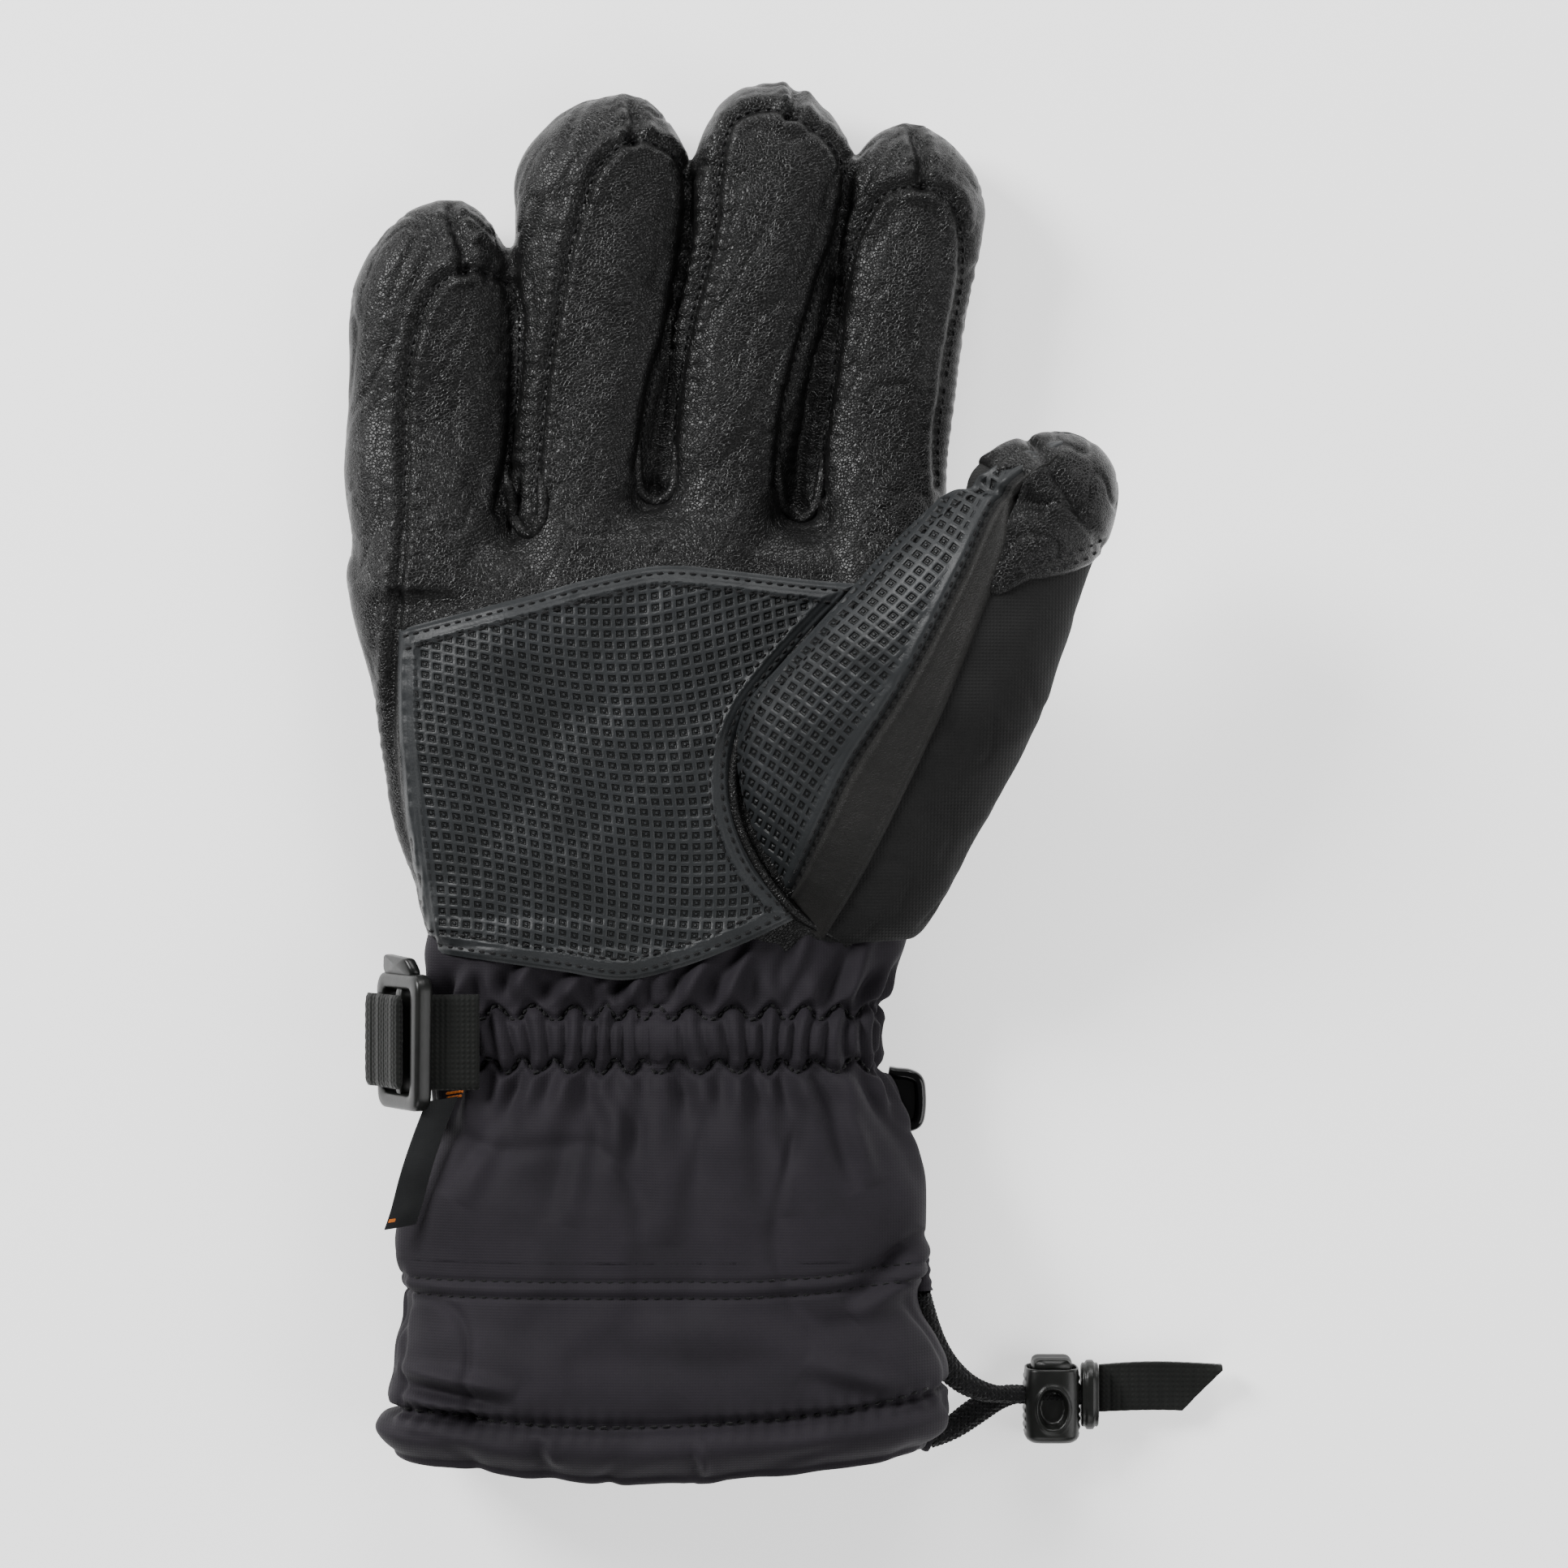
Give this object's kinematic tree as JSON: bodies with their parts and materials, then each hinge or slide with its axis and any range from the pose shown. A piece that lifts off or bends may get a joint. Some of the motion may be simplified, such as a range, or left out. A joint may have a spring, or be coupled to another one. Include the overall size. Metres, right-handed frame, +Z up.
{
  "type": "ski glove",
  "caption": "Padded right-hand ski glove with embossed palm, folding fingers, gathered wrist with buckle strap and a gauntlet with a drawcord lock.",
  "frame": {"origin": "on the rest plane, under the middle of the palm, on the underside of the hand's back", "axes": "+Y towards the fingertips, +X towards the thumb side, +Z up, out of the palm, with the glove lying on its back"},
  "size_m": [0.1853, 0.2961, 0.0684],
  "materials": {
    "leather": "soft, fine grain, slight sheen",
    "embossed_patch": "embossed with a grid of small squares",
    "softshell": "matte knit",
    "nylon": "plain weave",
    "lining": "brushed fleece",
    "insulation": "polyester fibre",
    "membrane": "thin film",
    "elastic": "knitted elastic",
    "webbing": "ribbed polyester webbing",
    "label": "woven",
    "plastic": "moulded, satin",
    "steel": "spring wire",
    "cord": "braided"
  },
  "bodies": {
    "hand": {"finger_webs": "leather", "hand_back": "softshell", "hand_edge_strip": "leather", "hand_insulation": "insulation", "hand_lining": "lining", "palm_leather": "leather", "palm_patch": "embossed_patch", "thumb_root": "leather", "thumb_side_wall": "softshell", "waterproof_membrane": "membrane"},
    "little_lower": {"little_back_panel_lower": "softshell", "little_lining_lower": "lining", "little_palm_panel_lower": "leather"},
    "little_upper": {"little_back_panel_upper": "softshell", "little_lining_upper": "lining", "little_palm_panel_upper": "leather"},
    "ring_lower": {"ring_back_panel_lower": "softshell", "ring_lining_lower": "lining", "ring_palm_panel_lower": "leather"},
    "ring_upper": {"ring_back_panel_upper": "softshell", "ring_lining_upper": "lining", "ring_palm_panel_upper": "leather"},
    "middle_lower": {"middle_back_panel_lower": "softshell", "middle_lining_lower": "lining", "middle_palm_panel_lower": "leather"},
    "middle_upper": {"middle_back_panel_upper": "softshell", "middle_lining_upper": "lining", "middle_palm_panel_upper": "leather"},
    "index_lower": {"index_back_panel_lower": "softshell", "index_lining_lower": "lining", "index_palm_panel_lower": "leather"},
    "index_upper": {"index_back_panel_upper": "softshell", "index_lining_upper": "lining", "index_palm_panel_upper": "leather"},
    "thumb_lower": {"thumb_back_panel_lower": "softshell", "thumb_lining_lower": "lining", "thumb_palm_panel_lower": "leather"},
    "thumb_upper": {"thumb_back_panel_upper": "softshell", "thumb_lining_upper": "lining", "thumb_palm_panel_upper": "leather"},
    "gauntlet": {"gauntlet_palm_side": "nylon", "gauntlet_back_side": "nylon", "wrist_elastic": "elastic", "gauntlet_skirt": "nylon", "hem_channel": "nylon", "gauntlet_lining": "lining", "strap_anchor": "webbing", "side_label": "label", "wrist_strap": "webbing", "drawcord_tunnel": "nylon", "drawcord_upper": "cord", "drawcord_lower": "cord", "cord_end": "plastic"},
    "buckle": {"ladder_buckle": "plastic"},
    "tail": {"strap_tail": "webbing"},
    "clip": {"pair_clip": "plastic"},
    "cord_lock": {"cord_lock_housing": "plastic"},
    "lock_button": {"cord_lock_plunger": "plastic", "cord_lock_spring": "steel"},
    "tab": {"pull_tab": "webbing"}
  },
  "joints": [
    {"name": "little_knuckle_fold", "type": "hinge", "parent": "hand", "child": "little_lower", "pos_m": [-0.0493, 0.064, 0.0155], "axis": [0.9998, -0.0175, 0], "range_deg": [-5, 60]},
    {"name": "little_middle_fold", "type": "hinge", "parent": "little_lower", "child": "little_upper", "pos_m": [-0.04883, 0.091, 0.0155], "axis": [0.9998, -0.0175, 0], "range_deg": [-4, 70]},
    {"name": "ring_knuckle_fold", "type": "hinge", "parent": "hand", "child": "ring_lower", "pos_m": [-0.0165, 0.071, 0.01612], "axis": [0.999, -0.0454, 0], "range_deg": [-5, 60]},
    {"name": "ring_middle_fold", "type": "hinge", "parent": "ring_lower", "child": "ring_upper", "pos_m": [-0.015, 0.10397, 0.01612], "axis": [0.999, -0.0454, 0], "range_deg": [-4, 70]},
    {"name": "middle_knuckle_fold", "type": "hinge", "parent": "hand", "child": "middle_lower", "pos_m": [0.0152, 0.0715, 0.01612], "axis": [0.9956, -0.0941, 0], "range_deg": [-5, 60]},
    {"name": "middle_middle_fold", "type": "hinge", "parent": "middle_lower", "child": "middle_upper", "pos_m": [0.0184, 0.10535, 0.01612], "axis": [0.9956, -0.0941, 0], "range_deg": [-4, 70]},
    {"name": "index_knuckle_fold", "type": "hinge", "parent": "hand", "child": "index_lower", "pos_m": [0.0474, 0.068, 0.01612], "axis": [0.9968, -0.0802, 0], "range_deg": [-5, 60]},
    {"name": "index_middle_fold", "type": "hinge", "parent": "index_lower", "child": "index_upper", "pos_m": [0.04997, 0.0999, 0.01612], "axis": [0.9968, -0.0802, 0], "range_deg": [-4, 70]},
    {"name": "thumb_base_fold", "type": "hinge", "parent": "hand", "child": "thumb_lower", "pos_m": [0.04225, 0.00599, 0.05355], "axis": [-0.7022, 0.4219, -0.5736], "range_deg": [-25, 0]},
    {"name": "thumb_tip_fold", "type": "hinge", "parent": "thumb_lower", "child": "thumb_upper", "pos_m": [0.06079, 0.03685, 0.05355], "axis": [-0.7022, 0.4219, -0.5736], "range_deg": [-55, 4]},
    {"name": "wrist_fold", "type": "hinge", "parent": "hand", "child": "gauntlet", "pos_m": [0, -0.038, 0.0175], "axis": [1, 0, 0], "range_deg": [-14, 14]},
    {"name": "buckle_tilt", "type": "hinge", "parent": "gauntlet", "child": "buckle", "pos_m": [-0.05051, -0.054, 0.038], "axis": [0, 1, 0], "range_deg": [0, 35]},
    {"name": "strap_tail_slide", "type": "slide", "parent": "buckle", "child": "tail", "axis": [-0.4695, 0, -0.8829], "range_m": [0, 0.006]},
    {"name": "clip_swing", "type": "hinge", "parent": "gauntlet", "child": "clip", "pos_m": [0.0474, -0.0675, 0.012], "axis": [0, -1, 0], "range_deg": [0, 50]},
    {"name": "cord_lock_slide", "type": "slide", "parent": "gauntlet", "child": "cord_lock", "axis": [1, 0, 0], "range_m": [-0.0025, 0]},
    {"name": "lock_button_press", "type": "slide", "parent": "cord_lock", "child": "lock_button", "axis": [0, -1, 0], "range_m": [0, 0.0025], "stiffness_N_per_m": 800, "deforming": ["cord_lock_spring"]},
    {"name": "pull_tab_flip", "type": "hinge", "parent": "gauntlet", "child": "tab", "pos_m": [0.0951, -0.1295, 0.0046], "axis": [0, -1, 0], "range_deg": [0, 75]}
  ]
}
